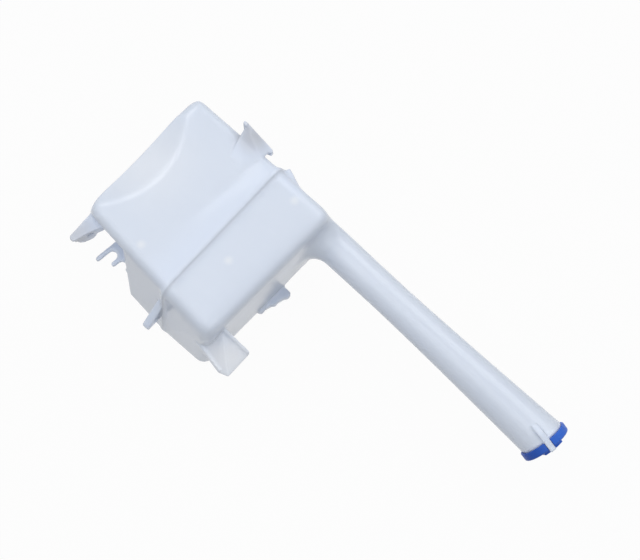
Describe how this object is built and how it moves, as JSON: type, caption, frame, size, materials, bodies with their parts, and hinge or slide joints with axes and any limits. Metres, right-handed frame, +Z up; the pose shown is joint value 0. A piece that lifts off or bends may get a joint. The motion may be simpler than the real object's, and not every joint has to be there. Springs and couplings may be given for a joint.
{
  "type": "washer fluid reservoir",
  "caption": "Welded plastic washer fluid tank with a long offset filler neck, a blue push-on cap, mounting ears, hose clips and a pump port.",
  "frame": {"origin": "middle of the flat base below the weld seam, with the tank lying on its broad base", "axes": "+X along the tank towards the filler mouth, +Z up from the base to the broad top face"},
  "size_m": [0.511, 0.2188, 0.131],
  "materials": {
    "tank_plastic": "satin, milky and slightly translucent",
    "cap_plastic": "satin",
    "grommet_rubber": "matte"
  },
  "bodies": {
    "tank": {"rear_shell": "tank_plastic", "front_shell": "tank_plastic", "pump_grommet": "grommet_rubber"},
    "cap": {"filler_cap": "cap_plastic"}
  },
  "joints": [
    {"name": "cap_pull", "type": "slide", "parent": "tank", "child": "cap", "axis": [0.9305, -0.1308, -0.342], "range_m": [0, 0.05]}
  ]
}
